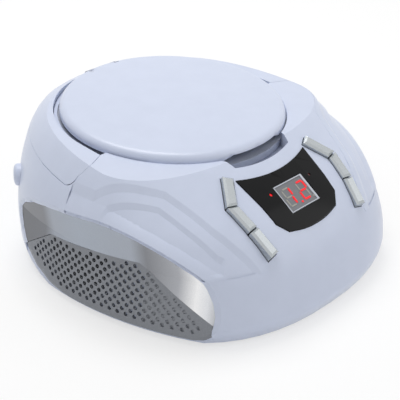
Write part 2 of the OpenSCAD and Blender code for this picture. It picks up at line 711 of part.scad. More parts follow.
module feed_screw() color("silver") at_lid() translate([-72, screw_y, rod_z]) rotate([0, 90, 0])
    cylinder(r = rod_r, h = 68);
module feed_motor() color("silver") at_lid() translate([-8, screw_y, rod_z]) rotate([0, 90, 0]) difference() {
    cylinder(r = 4.9, h = 22);
    translate([0, 0, -1]) cylinder(r = rod_r + run, h = 6);
}

module display_lens() color("black") difference() {
    intersection() {
        linear_extrude(far) lens_outline(0);
        body_form(lens_levels, -lens_up);
    }
    body_form(lens_levels, lens_t - lens_up - seat);
    led_room(seat, 20, 20);
    at_panel() for (p = lamp_spots) translate([p[0], p[1], 0])
        cylinder(r = lamp_r + run, h = 40, center = true);
}
module display_block() color("gray") at_panel() {
    block([-led_w / 2, -led_h / 2, led_up - led_t], [led_w / 2, led_h / 2, led_up]);
    block([-led_w / 2 + 2, -led_h / 2 + 2, board_top], [led_w / 2 - 2, led_h / 2 - 2, led_up - led_t]);
}
// Two seven-segment figures with a point between, standing just proud of the block
module segment() linear_extrude(0.3)
    polygon([[-seg_l / 2, 0], [-seg_l / 2 + seg_w / 2, seg_w / 2], [seg_l / 2 - seg_w / 2, seg_w / 2],
        [seg_l / 2, 0], [seg_l / 2 - seg_w / 2, -seg_w / 2], [-seg_l / 2 + seg_w / 2, -seg_w / 2]]);
module lit_figure(lit) for (i = lit)
    translate([seg_places[i][0] * seg_pitch + seg_places[i][1], seg_places[i][1] * seg_pitch, 0])
        rotate([0, 0, seg_places[i][2]]) segment();
module display_segments() color("red") at_panel() translate([0, 0, led_up]) {
    translate([-6.2, 0, 0]) lit_figure([1, 2]);
    translate([6.2, 0, 0]) lit_figure([0, 1, 6, 4, 3]);
    translate([0, -6, 0]) cylinder(d = 1.4, h = 0.3);
}
module indicator_lamps() color("red") at_panel() for (p = lamp_spots)
    translate([p[0], p[1], board_top]) {
        cylinder(r = 2, h = -board_top - 5.5);
        cylinder(r = lamp_r, h = -board_top - 0.6);
    }
module panel_board() color("green") at_panel() difference() {
    union() {
        block([-48, -22, board_top - board_t], [48, 26, board_top]);
        block([-56.5, -3, board_top - board_t], [56.5, 12, board_top]);
    }
    block([-33, 13, board_top - 5], [33, 40, board_top + 5]);
}
module tact_switches() color("black") at_panel() both_sides() for (i = [0 : 2])
    translate([strip_mid(i)[0], strip_mid(i)[1], board_top]) {
        block([-3, -3, 0], [3, 3, switch_h - 0.8]);
        cylinder(r = 1.7, h = switch_h);
    }
module left_upper_button() color("gainsboro") mirrored() button(0);
module left_middle_button() color("gainsboro") mirrored() button(1);
module left_lower_button() color("gainsboro") mirrored() button(2);
module right_upper_button() color("gainsboro") button(0);
module right_middle_button() color("gainsboro") button(1);
module right_lower_button() color("gainsboro") button(2);

// The volume control looks out of the rear left corner; its own z points outwards
module at_knob() translate(knob_at) rotate([0, 0, knob_turn]) rotate([-90, 0, 0]) children();
module volume_knob() color("gainsboro") at_knob() difference() {
    rotate_extrude($fn = 72) polygon(concat([[0, -knob_in], [knob_d / 2, -knob_in]],
        [for (a = [0 : 15 : 90])
            [knob_d / 2 - knob_round + knob_round * cos(a), knob_up - knob_round + knob_round * sin(a)]],
        [[0, knob_up]]));
    translate([0, 0, -knob_in - 1]) cylinder(r = shaft_r, h = knob_in + 1);
    // Pointer groove on the face
    block([-0.5, 2, knob_up - 0.5], [0.5, knob_d / 2 - 2.6, knob_up + 1]);
}
module volume_shaft() color("silver") at_knob() translate([0, 0, -knob_in - shaft_l])
    cylinder(r = shaft_r, h = knob_in + shaft_l);
module volume_pot() color("gray") at_knob() translate([0, 0, -knob_in - shaft_l - 1]) difference() {
    union() {
        cylinder(r = 8, h = pot_t);
        cylinder(r = 4.5, h = pot_t + 4);
    }
    translate([0, 0, 1]) cylinder(r = shaft_r + run, h = 30);
}
module volume_board() color("green") at_knob()
    block([-12, -11, -knob_in - shaft_l - 1 - board_t], [12, knob_at[2] - floor_z, -knob_in - shaft_l - 1]);

module rear_holes() translate([0, rear_flat, fit_z]) {
    block([inlet_x - 10.5, -10, -6.5], [inlet_x + 10.5, 5, 6.5]);
    for (x = [phones_x, line_x]) translate([x, 0, 0]) rotate([90, 0, 0])
        cylinder(r = 3.6, h = 30, center = true);
    block([slider_x - 3.5 - slider_travel / 2, -10, -2.4], [slider_x + 3.5 + slider_travel / 2, 5, 2.4]);
}
module power_slider() color("dimgray") translate([slider_x - slider_travel / 2, rear_flat, fit_z]) {
    block([-3, -wall - 1.8, -2], [3, 1.2, 2]);
    for (x = [-1.6, 0, 1.6]) block([x - 0.3, 1.2, -2], [x + 0.3, 1.5, 2]);
}
module power_switch() color("silver") translate([slider_x, rear_in, fit_z]) difference() {
    block([-9, -9, -5], [9, -seat, 5]);
    block([-3 - slider_travel / 2 - gap, -2.2, -2.4], [3 + slider_travel / 2 + gap, 1, 2.4]);
}
module ac_inlet() color("black") translate([inlet_x, rear_flat, fit_z]) difference() {
    union() {
        block([-10.5 + seat, -20, -6.5 + seat], [10.5 - seat, 0, 6.5 - seat]);
        block([-13, -wall - 2.2, -9], [13, -wall - seat, 9]);
    }
    translate([0, -12, 0]) rotate([-90, 0, 0]) {
        for (x = [-3.9, 3.9]) translate([x, 0, 0]) cylinder(r = 4.2, h = 20);
        block([-3.9, -3.2, 0], [3.9, 3.2, 20]);
    }
}
module inlet_pins() color("silver") translate([inlet_x, rear_flat, fit_z]) for (x = [-3.9, 3.9])
    translate([x, -12, 0]) rotate([-90, 0, 0]) cylinder(r = 1.2, h = 10);
module jack() translate([0, rear_flat, fit_z]) rotate([90, 0, 0]) difference() {
    union() {
        cylinder(r = 3.6 - seat, h = wall + 1);
        block([-5, -5.5, wall + seat], [5, 5.5, wall + 14]);
    }
    translate([0, 0, -1]) cylinder(r = 1.85, h = 14);
}
module phones_jack() color("dimgray") translate([phones_x, 0, 0]) jack();
module line_jack() color("dimgray") translate([line_x, 0, 0]) jack();

module main_board() color("green") block([-54, -84, main_z], [54, -42, main_z + board_t]);
module board_parts() color("dimgray") translate([0, 0, main_z + board_t]) {
    for (x = [-40, -28, -16]) translate([x, -62, 0]) cylinder(r = 5, h = 14);
    block([0, -70, 0], [14, -58, 2.2]);
    block([20, -78, 0], [26, -48, 18]);
    for (z = [3 : 4 : 15]) block([26, -78, z], [34, -48, z + 1.4]);
}
module transformer_core() color("silver") translate(coil_at) difference() {
    block([-17, -21, 0], [17, 21, 30]);
    for (s = [-1, 1]) translate([0, s * 10.5, 0]) block([-20, -5.5, 6], [20, 5.5, 24]);
}
module transformer_coil() color("orange") translate(coil_at) difference() {
    block([-22, -15.8, 6.2], [22, 15.8, 23.8]);
    block([-17 - run, -5.2, 0], [17 + run, 5.2, 40]);
    for (s = [-1, 1]) translate([0, s * 20, 0]) block([-17 - run, -4.3, 0], [17 + run, 4.3, 40]);
}

module battery_door() color("lavender") difference() {
    union() {
        block([-door_w / 2, door_front, foot_h], [door_w / 2, door_back, foot_h + door_t]);
        translate([0, hinge_edge, door_axis]) rotate([0, 90, 0])
            cylinder(r = door_pin, h = door_w + 4, center = true);
    }
    // Finger grooves near the opening edge
    for (i = [0 : 4])
        block([-14 + i, door_back - 16 + i * 2.4, 0], [14 - i, door_back - 15 + i * 2.4, foot_h + 0.7]);
}
module battery_springs() color("silver") for (i = [-1 : 1])
    translate([i * cell_d, bay_y - bay_l / 2, bay_top - bay_h / 2]) rotate([-90, 0, 0])
        for (k = [0 : 5]) translate([0, 0, 0.5 + k * 0.75]) rotate_extrude()
            translate([6 - k * 0.5, 0]) circle(r = 0.5, $fn = 14);
module battery_plates() color("silver") for (i = [-1 : 1])
    translate([i * cell_d, bay_y + bay_l / 2, bay_top - bay_h / 2]) rotate([90, 0, 0]) {
        block([-8, -6, 0], [8, 6, 0.5]);
        cylinder(r = 3, h = 1.1);
    }
module rubber_feet() color("black") for (p = foot_spots) translate([p[0], p[1], 0]) rotate_extrude()
    polygon([[0, 0], [6, 0], [7, 1], [7, foot_h], [0, foot_h]]);
module case_screws() color("silver") for (p = screw_spots) translate([p[0], p[1], head_z]) {
    difference() {
        translate([0, 0, -2.2]) cylinder(r = 3, h = 2.2);
        for (a = [0, 90]) rotate([0, 0, a]) block([-2, -0.4, -3], [2, 0.4, -1.2]);
    }
    cylinder(r = 1.5, h = 22);
}

top_cover();
base_tub();
left_trim();
right_trim();
left_grille();
right_grille();
left_speaker_frame();
right_speaker_frame();
left_speaker_cone();
right_speaker_cone();
left_speaker_magnet();
right_speaker_magnet();
lid();
lid_hinge_pin();
handle();
handle_pins();
cd_deck();
lid_switch();
drive_plate();
drive_dampers();
spindle_motor();
turntable();
guide_rods();
laser_sled();
laser_lens();
feed_screw();
feed_motor();
display_lens();
display_block();
display_segments();
indicator_lamps();
panel_board();
tact_switches();
left_upper_button();
left_middle_button();
left_lower_button();
right_upper_button();
right_middle_button();
right_lower_button();
volume_knob();
volume_shaft();
volume_pot();
volume_board();
power_slider();
power_switch();
ac_inlet();
inlet_pins();
phones_jack();
line_jack();
main_board();
board_parts();
transformer_core();
transformer_coil();
battery_door();
battery_springs();
battery_plates();
rubber_feet();
case_screws();
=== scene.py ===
import math

import bmesh
import bpy
import numpy as np
from mathutils import Matrix, Vector


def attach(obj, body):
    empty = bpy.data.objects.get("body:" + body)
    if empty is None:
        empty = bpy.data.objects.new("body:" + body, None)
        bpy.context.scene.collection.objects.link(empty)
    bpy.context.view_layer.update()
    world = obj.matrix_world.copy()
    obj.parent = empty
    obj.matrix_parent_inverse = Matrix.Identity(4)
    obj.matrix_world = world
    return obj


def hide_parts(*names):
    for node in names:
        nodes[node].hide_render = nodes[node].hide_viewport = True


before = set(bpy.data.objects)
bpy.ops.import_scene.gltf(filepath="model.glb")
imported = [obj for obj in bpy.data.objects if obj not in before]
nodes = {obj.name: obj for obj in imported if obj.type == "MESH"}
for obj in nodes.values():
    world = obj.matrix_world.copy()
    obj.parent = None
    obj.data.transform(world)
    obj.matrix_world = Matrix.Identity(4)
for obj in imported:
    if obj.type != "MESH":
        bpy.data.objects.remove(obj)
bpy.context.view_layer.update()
print("frame loaded:", len(nodes), "nodes")


def srgb(hexColour):
    # sRGB hex to the linear values that a shader takes
    parts = [int(hexColour[i:i + 2], 16) / 255 for i in (1, 3, 5)]
    return [p / 12.92 if p <= 0.04045 else ((p + 0.055) / 1.055) ** 2.4 for p in parts] + [1.0]


def addNode(tree, kind, place, settings=(), links=()):
    # one shader node at a place on the sheet, with its settings, and its links by an input's name or number
    node = tree.nodes.new(kind)
    node.location = place
    for name, value in dict(settings).items():
        if name in node.inputs:
            node.inputs[name].default_value = value
        else:
            setattr(node, name, value)
    for socket, source in dict(links).items():
        tree.links.new(source, node.inputs[socket])
    return node


# How every finish wanders between its two tones, and how strongly its relief shows
grainSet = {"detail": 3.0, "roughness": 0.55, "low": 0.25, "high": 0.75, "relief": 0.6}


def surface(name, colours, roughness, grain, metallic=0.0, relief=0.0, more=()):
    # a finish whose colour wanders between two tones in grains of that many millimetres
    material = bpy.data.materials.new(name)
    material.use_nodes = True
    tree = material.node_tree
    shader = tree.nodes["Principled BSDF"]
    for socket, value in {"Roughness": roughness, "Metallic": metallic, **dict(more)}.items():
        shader.inputs[socket].default_value = value
    place = addNode(tree, "ShaderNodeTexCoord", (-900, 0))
    noise = addNode(tree, "ShaderNodeTexNoise", (-700, 0),
                    {"Scale": 1000 / grain, "Detail": grainSet["detail"], "Roughness": grainSet["roughness"]},
                    {"Vector": place.outputs["Object"]})
    ramp = addNode(tree, "ShaderNodeValToRGB", (-450, 0), links={"Fac": noise.outputs["Fac"]})
    for stop, position, colour in zip(ramp.color_ramp.elements, (grainSet["low"], grainSet["high"]), colours):
        stop.position = position
        stop.color = srgb(colour)
    tree.links.new(ramp.outputs["Color"], shader.inputs["Base Color"])
    if relief:
        bump = addNode(tree, "ShaderNodeBump", (-250, -250),
                       {"Strength": grainSet["relief"], "Distance": relief / 1000},
                       {"Height": noise.outputs["Fac"]})
        tree.links.new(bump.outputs["Normal"], shader.inputs["Normal"])
    return material


# Glossy white ABS from a polished mould: an even cool white, a soft sheen, hardly any grain
whiteAbs = surface("mouldedWhiteAbs", ("#CFD7EB", "#D3DBEF"), 0.30, 14.0)
# Silver lacquer on ABS: fine metal flakes that sparkle a little, drawn coarser than real ones to show
silverLacquer = surface("silverLacquer", ("#F0F0F2", "#FFFFFF"), 0.30, 0.5, metallic=0.7)
# Painted perforated aluminium: grey with a bluish cast and a satin gloss
surface("paintedAluminium", ("#7F8288", "#8A8D93"), 0.42, 0.8, metallic=0.55)
# Clear acrylic, black behind: near black with sharp but weak reflections
surface("blackAcrylic", ("#0A0B0D", "#0E0F11"), 0.16, 30.0, more={"Specular IOR Level": 0.16})
# Silver lacquer on the small keys: a brighter, even silver
surface("keyLacquer", ("#B0B5B8", "#C0C5C8"), 0.26, 0.5, metallic=0.7)
# Black moulded plastic with the fine spark texture of its mould
surface("sparkedBlackAbs", ("#17181A", "#202124"), 0.5, 0.7, relief=0.03)
# Light grey ABS of the disc well, satin
surface("satinGreyAbs", ("#A9AFBE", "#B0B6C5"), 0.4, 6.0)
# Zinc-plated steel: slightly blotched and bright
surface("zincPlatedSteel", ("#9C9D9C", "#B3B2AE"), 0.3, 3.0, metallic=1.0)
# Pressed paper of the cones: felt-like and dull
surface("pressedPaper", ("#161616", "#262524"), 0.9, 0.5, relief=0.08)
# Sintered ferrite: charcoal with a dull break
surface("sinteredFerrite", ("#2B2B2D", "#3A3A3B"), 0.65, 0.9, relief=0.03)
# Glass-epoxy board under green solder resist: even and fairly glossy
surface("solderResist", ("#1C5B34", "#246B3E"), 0.35, 2.5)
# Moulded rubber: soft black with a dusty bloom
surface("mouldedRubber", ("#1A1A1A", "#262626"), 0.8, 1.2, relief=0.03)
# Stacked transformer steel, oiled: dark grey and faintly brown
surface("oiledTransformerSteel", ("#4A4844", "#5C5953"), 0.45, 1.0, metallic=0.8)
# Polyester tape round the coil: amber with a slick face
surface("polyesterTape", ("#B98A2E", "#C69A3E"), 0.3, 4.0)
# Coated lens: deep blue gleam
surface("coatedLens", ("#1B2748", "#24335C"), 0.05, 3.0, more={"Coat Weight": 1.0})
# Smoked face of the display module: an even mid grey
surface("smokedFace", ("#73757A", "#7C7E83"), 0.35, 3.0)
# Light pipes that aren't lit: milky grey
dimSegment = surface("dimSegment", ("#A09F97", "#A9A8A0"), 0.5, 1.0)
# Pale lacquered frame of the display: an even, slightly cool light grey
paleFrame = surface("paleLacquer", ("#C3C8D2", "#CBD0DA"), 0.4, 2.0)
# Unlit lamp: dark red tinted resin
tintedResin = surface("tintedResin", ("#4E1A1E", "#5C2024"), 0.25, 1.0)
# Lit resin: strong red that glows by itself
surface("litResin", ("#7A0C12", "#861016"), 0.5, 1.0,
        more={"Emission Color": srgb("#F4141F"), "Emission Strength": 0.9})

# Painted shade and highlight on the three facets of a trim: dull at the rear, even in the middle, bright in front,
# painted into the lacquer's colour in place of the light the facets catch. The tones stand at places from front to
# rear, in millimetres
trimPaintedShadeSet = {"from": -90.0, "to": 70.0,
            "tones": [(-88, "#9EA1A8"), (-80, "#EDEFF2"), (-74, "#FFFFFF"), (-64, "#B3B5BA"), (-46, "#8C8E93"),
                      (-37, "#ACB2BC"), (0, "#ABB3BE"), (24, "#A4AAB4"), (33, "#808287"), (68, "#6A6C70")]}
tree = silverLacquer.node_tree
apart = addNode(tree, "ShaderNodeSeparateXYZ", (-700, 300),
                links={"Vector": tree.nodes["Texture Coordinate"].outputs["Object"]})
along = addNode(tree, "ShaderNodeMapRange", (-550, 300),
                {"From Min": trimPaintedShadeSet["from"] / 1000, "From Max": trimPaintedShadeSet["to"] / 1000},
                {"Value": apart.outputs["Y"]})
trimPaintedShadeRamp = addNode(tree, "ShaderNodeValToRGB", (-400, 300), links={"Fac": along.outputs["Result"]})
stops = trimPaintedShadeRamp.color_ramp.elements
for number, (y, tone) in enumerate(trimPaintedShadeSet["tones"]):
    share = (y - trimPaintedShadeSet["from"]) / (trimPaintedShadeSet["to"] - trimPaintedShadeSet["from"])
    stop = stops[number] if number < 2 else stops.new(share)  # a new ramp has two stops
    stop.position = share
    stop.color = srgb(tone)
# the painted shade and highlight multiply the lacquer's flake grain
joined = addNode(tree, "ShaderNodeMix", (-150, 200), {"data_type": "RGBA", "blend_type": "MULTIPLY"},
                 {6: trimPaintedShadeRamp.outputs["Color"], 7: tree.nodes["Color Ramp"].outputs["Color"]})
joined.inputs[0].default_value = 1.0
tree.links.new(joined.outputs[2], tree.nodes["Principled BSDF"].inputs["Base Color"])  # 2, like 6 and 7, is colour

finishes = {
    "mouldedWhiteAbs": ["top_cover", "base_tub", "lid", "handle", "battery_door", "volume_knob"],
    "silverLacquer": ["left_trim", "right_trim"],
    "paintedAluminium": ["left_grille", "right_grille"],
    "blackAcrylic": ["display_lens"],
    "keyLacquer": [n for n in nodes if n.endswith("_button")],
    "satinGreyAbs": ["cd_deck"],
    "zincPlatedSteel": ["left_speaker_frame", "right_speaker_frame", "lid_hinge_pin", "handle_pins",
                        "drive_plate", "guide_rods", "feed_screw", "feed_motor", "spindle_motor",
                        "battery_springs", "battery_plates", "case_screws", "volume_shaft", "inlet_pins",
                        "power_switch"],
    "pressedPaper": ["left_speaker_cone", "right_speaker_cone"],
    "sinteredFerrite": ["left_speaker_magnet", "right_speaker_magnet"],
    "solderResist": ["panel_board", "volume_board", "main_board"],
    "mouldedRubber": ["rubber_feet", "drive_dampers"],
    "oiledTransformerSteel": ["transformer_core"],
    "polyesterTape": ["transformer_coil"],
    "coatedLens": ["laser_lens"],
    "smokedFace": ["display_block"],
    "litResin": ["display_segments", "indicator_lamps"],
}
dressed = {name: finish for finish, names in finishes.items() for name in names}
for name, node in nodes.items():
    node.data.materials.clear()
    node.data.materials.append(bpy.data.materials[dressed.get(name, "sparkedBlackAbs")])
nodes["indicator_lamps"].data.materials.append(tintedResin)  # only the left lamp is lit
for face in nodes["indicator_lamps"].data.polygons:
    face.material_index = 1 if face.center.x > 0 else 0
print("materials set")

# The casing's form in millimetres: sections that widen to the waist and close in above it
formSet = {"half": 110.5, "waist": 26.0, "tuck": 4.5, "rise": 95.0, "sidePower": 2.05, "sideLimit": 0.98,
           "frontMiddle": -33.6, "frontRadius": 77.0, "frontSlope": 30.0, "rearMiddle": 26.0, "rearReach": 89.7,
           "rearRise": 67.5, "rearRound": 7.4, "rearLimit": 0.9995, "split": -1.0, "frontPower": 2.44,
           "rearPower": 2.27, "seam": 13.0, "floor": 2.2, "draw": 0.042, "drawPower": 1.5, "widest": 160.0}
# The flat that the lid and the handle lie on
deckSet = {"middle": (0.0, 26.0, 87.0), "tilt": 3.8}
deckTilt = math.radians(deckSet["tilt"])
deckUp = np.array([0, -math.sin(deckTilt), math.cos(deckTilt)])
# Crests of the two steps on each shoulder, seen from above, with their drop and the width of their bevel. The drop
# runs out over an edge at the speaker wall, and to a share near the foot: from a height, over a run
stepSet = {"upper": [(94.6, 16), (94.4, 7.3), (94.0, -8.1), (77.8, -29.4), (69.7, -39.3), (65.1, -53.4),
                     (61.3, -67.6), (56.5, -78.6), (52.1, -87.4), (49.2, -93.8)],
           "lower": [(99.5, -17.6), (94.7, -18.5), (84.5, -32), (77.1, -41.6), (72, -60.2), (66.8, -75.9),
                     (64.1, -79.1), (68.8, -82.8), (77.7, -78.7)],
           "drop": (1.6, 1.45), "bevel": (2.7, 1.9), "edge": 6.0, "taper": (42.0, 9.0, 0.75), "far": 400.0}
# The speaker walls are two leaning cylinders
podSet = {"radius": 205.0, "x": 100.4, "y": 15.4, "z": 40.0, "leans": (7.0, -10.0)}
# How copies are merged, which of their faces take the normals of the form, the deck or the speaker walls, and the
# step that measures the form's slope
shadeSet = {"merge": 1e-6, "reach": 0.02, "facing": 0.8, "inwards": 0.1, "deck": 0.03, "podFacing": 0.985,
            "step": 0.02}


def formLevel(x, y, z):
    # below 1 inside the casing's form, 1 on its surface
    s = formSet
    up = np.clip((z - s["waist"]) / s["rise"], 0, s["sideLimit"])
    half = np.where(z > s["waist"], s["half"] * (1 - up ** s["sidePower"]) ** (1 / s["sidePower"]),
                    s["half"] - s["tuck"] * (np.maximum(s["waist"] - z, 0) / s["waist"]) ** 2)
    tilt = math.radians(s["frontSlope"])
    slopeZ = s["frontRadius"] * math.cos(tilt)
    slopeY = s["frontMiddle"] - s["frontRadius"] * math.sin(tilt)
    front = np.where(z < slopeZ, s["frontMiddle"] - np.sqrt(np.maximum(s["frontRadius"] ** 2 - z * z, 0)),
                     slopeY + (z - slopeZ) / math.tan(tilt))
    back = np.clip(np.maximum(z - s["waist"], 0) / s["rearRise"], 0, s["rearLimit"])
    rear = s["rearMiddle"] + s["rearReach"] * (1 - back ** s["rearRound"]) ** (1 / s["rearRound"])
    draw = 1 - s["draw"] * (np.maximum(s["seam"] - z, 0) / (s["seam"] - s["floor"])) ** s["drawPower"]
    reach = np.where(y < s["split"], s["split"] - front, rear - s["split"]) * draw
    power = np.where(y < s["split"], s["frontPower"], s["rearPower"])
    return (np.abs(x) / half) ** power + (np.abs(y - s["split"]) / np.maximum(reach, 1e-3)) ** power


def aboveDeck(spots):
    # heights above the flat of the deck
    return (spots - np.array(deckSet["middle"])) @ deckUp


def beyondCrest(crest, x, y):
    # how far a place lies beyond a crest, towards the side of the casing; zero above the crest
    far = stepSet["far"]
    outline = crest + [(far, crest[-1][1]), (far, crest[0][1])]
    inside = np.zeros(x.shape, bool)
    nearest = np.full(x.shape, 1e9)
    for (ax, ay), (bx, by) in zip(outline, outline[1:] + outline[:1]):
        dx, dy = bx - ax, by - ay
        if ay != by:
            inside ^= ((ay > y) != (by > y)) & (x < dx * (y - ay) / dy + ax)
        if ax < far or bx < far:
            along = np.clip(((x - ax) * dx + (y - ay) * dy) / (dx ** 2 + dy ** 2), 0, 1)
            nearest = np.minimum(nearest, np.hypot(x - ax - along * dx, y - ay - along * dy))
    return np.where(inside, nearest, 0.0)


def podOut(spots, lean):
    # directions away from the axis of a speaker wall on the right, and the distances from it
    turn = math.radians(lean)
    axis = np.array([math.sin(turn), 0, math.cos(turn)])
    start = np.array([podSet["x"] - podSet["radius"] * math.cos(turn), podSet["y"],
                      podSet["z"] + podSet["radius"] * math.sin(turn)])
    out = spots - start
    out = out - np.outer(out @ axis, axis)
    reach = np.linalg.norm(out, axis=1)
    return out / reach[:, None], reach


def letDown(x, y, z):
    # how far the two steps let the surface down at a place
    wall = podSet["radius"] - podOut(np.stack([np.abs(x), y, z], axis=1), podSet["leans"][0])[1]
    start, run, share = stepSet["taper"]
    fade = np.clip(wall / stepSet["edge"], 0, 1) * (share + (1 - share) * np.clip((z - start) / run, 0, 1))
    total = np.zeros(x.shape)
    for crest, drop, bevel in zip((stepSet["upper"], stepSet["lower"]), stepSet["drop"], stepSet["bevel"]):
        total = total + drop * np.clip(beyondCrest(crest, np.abs(x), y) / bevel, 0, 1)
    return total * fade


def levelAt(spots, stepped):
    # the form's level at many points, with or without the steps
    x, y, z = spots.T
    return formLevel(x, y, z + (letDown(x, y, z) if stepped else 0.0))


def formNormal(spots, stepped):
    # the outward direction of the form's surface at many points
    slope = np.zeros(spots.shape)
    for axis in range(3):
        step = np.zeros(3)
        step[axis] = shadeSet["step"]
        slope[:, axis] = levelAt(spots + step, stepped) - levelAt(spots - step, stepped)
    return slope / np.maximum(np.linalg.norm(slope, axis=1, keepdims=True), 1e-12)


def halve(low, high, rounds, isUnder):
    # closes in on the values where a test stops being true
    for _ in range(rounds):
        middle = (low + high) / 2
        under = isUnder(middle)
        low, high = np.where(under, middle, low), np.where(under, high, middle)
    return low, high


def pick(piece):
    # makes a piece the only chosen one
    bpy.ops.object.select_all(action="DESELECT")
    piece.select_set(True)
    bpy.context.view_layer.objects.active = piece


def addPiece(name, mesh):
    # a new object in the scene, chosen
    piece = bpy.data.objects.new(name, mesh)
    bpy.context.collection.objects.link(piece)
    pick(piece)
    return piece


def wholeCopy(node, name, body, angle):
    # a copy of a CAD piece with its loose triangles merged, to shade as one surface
    piece = addPiece(name, nodes[node].data.copy())
    bpy.ops.object.mode_set(mode="EDIT")
    bpy.ops.mesh.select_all(action="SELECT")
    bpy.ops.mesh.remove_doubles(threshold=shadeSet["merge"])
    bpy.ops.object.mode_set(mode="OBJECT")
    bpy.ops.object.shade_smooth_by_angle(angle=math.radians(angle))
    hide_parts(node)
    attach(piece, body)
    return piece


def shadeOnForm(piece, stepped, reach=shadeSet["reach"]):
    # faces that lie on the casing's form take the form's own normals, so facets don't show
    mesh = piece.data
    corners = np.array([c.vector for c in mesh.corner_normals])
    owner = np.array([l.vertex_index for l in mesh.loops])
    spots = np.array([v.co for v in mesh.vertices]) * 1000
    faceOf = np.zeros(len(mesh.loops), int)
    for face in mesh.polygons:
        faceOf[face.loop_start:face.loop_start + face.loop_total] = face.index
    middles = np.array([f.center for f in mesh.polygons]) * 1000
    faceNormals = np.array([f.normal for f in mesh.polygons])
    worst = np.zeros(len(mesh.polygons))
    np.maximum.at(worst, faceOf, np.abs(levelAt(spots, stepped) - 1)[owner])
    facing = (formNormal(middles, stepped) * faceNormals).sum(axis=1)
    onForm = (worst < reach) & (facing > shadeSet["facing"])
    chosen = onForm[faceOf]
    # measured a little towards the middle of each face, so that the steps stay crisp
    inwards = spots[owner] + shadeSet["inwards"] * (middles[faceOf] - spots[owner])
    corners[chosen] = formNormal(inwards[chosen], stepped)
    # faces on the flat of the deck keep its one direction
    highest = np.zeros(len(mesh.polygons))
    np.maximum.at(highest, faceOf, np.abs(aboveDeck(spots))[owner])
    corners[(highest < shadeSet["deck"])[faceOf]] = deckUp
    mesh.normals_split_custom_set([tuple(c) for c in corners])
    print(piece.name, "faces on the form:", int(onForm.sum()), "of", len(mesh.polygons))


def shadeOnPod(piece, side):
    # faces on the speaker walls take the cylinders' own normals
    mesh = piece.data
    corners = np.array([c.vector for c in mesh.corner_normals])
    owner = np.array([l.vertex_index for l in mesh.loops])
    mirror = np.array([side, 1, 1])
    spots = np.array([v.co for v in mesh.vertices]) * 1000 * mirror
    for lean in podSet["leans"]:
        out = podOut(spots, lean)[0] * mirror
        for face in mesh.polygons:
            if all(face.normal.dot(Vector(out[v])) > shadeSet["podFacing"] for v in face.vertices):
                for loop in face.loop_indices:
                    corners[loop] = out[owner[loop]]
    mesh.normals_split_custom_set([tuple(c) for c in corners])


# Shoulders: a fine skin with the two steps, which lies on the form between its foot and the deck. It keeps clear of
# the round nose of the handle, reaches in past the upper crest by the overlaps, and over the speaker wall by the lip
skinSet = {"turns": (7.5, -66, -0.6), "rows": 48, "foot": 40.3, "top": 86.9, "climb": 0.1, "shortest": 1.0,
           "overlap": [(1.2, 0.8)] * 3 + [(3.6, 2.4)] * 7, "tail": (3.0, 7.0), "lip": 0.25, "lift": 0.04,
           "nose": (16.4, 80.3, 7.95), "underNose": 2.0, "thick": 0.9, "angle": 20, "rounds": 40, "cutGap": 1e-7}


def onSection(turn, z):
    # the points of the form in directions round the middle, at their heights
    split = formSet["split"]
    reach = halve(np.zeros(z.shape), np.full(z.shape, formSet["widest"]), skinSet["rounds"],
                  lambda r: formLevel(r * np.cos(turn), split + r * np.sin(turn), z) < 1)[0]
    return np.stack([reach * np.cos(turn), split + reach * np.sin(turn), z], axis=1)


def drawnIn(share):
    # the upper crest, moved towards the middle by a share of the overlap, which is small near the handle
    return [(x - share * far, y + share * back)
            for (x, y), (far, back) in zip(stepSet["upper"], skinSet["overlap"])]


def skinSpan(turn):
    # heights between which the skin runs in one direction
    z = np.arange(skinSet["foot"], skinSet["top"], skinSet["climb"])
    spots = onSection(np.full(z.shape, turn), z)
    inside = podOut(spots, podSet["leans"][0])[1] <= podSet["radius"] + skinSet["lip"]
    crest = drawnIn(1.0)
    crest.append((crest[-1][0] - skinSet["tail"][0], crest[-1][1] - skinSet["tail"][1]))
    inside &= beyondCrest(crest, spots[:, 0], spots[:, 1]) > 0
    inside &= aboveDeck(spots) < skinSet["lift"]
    noseY, noseZ, noseR = skinSet["nose"]
    inside &= np.hypot(spots[:, 1] - noseY, spots[:, 2] - noseZ) > noseR
    inside &= (spots[:, 1] < noseY - noseR) | (spots[:, 2] < noseZ - skinSet["underNose"])
    if not inside.any():
        return None
    first = int(np.argmax(inside))
    last = first
    while last + 1 < len(z) and inside[last + 1]:
        last += 1
    return (z[first], z[last]) if z[last] - z[first] > skinSet["shortest"] else None


def outwardOf(a, b):
    # the direction across a stretch of a crest, level
    run = Vector((b[0] - a[0], b[1] - a[1], 0)).normalized()
    return Vector((-run.y, run.x, 0))


def cutMesh(mesh, faces, place, direction):
    # one straight cut through some faces of a mesh
    edges = list(dict.fromkeys(e for f in faces for e in f.edges))
    verts = list(dict.fromkeys(v for f in faces for v in f.verts))
    bmesh.ops.bisect_plane(mesh, geom=faces + edges + verts, dist=skinSet["cutGap"],
                           plane_co=Vector(place) / 1000, plane_no=Vector(direction))


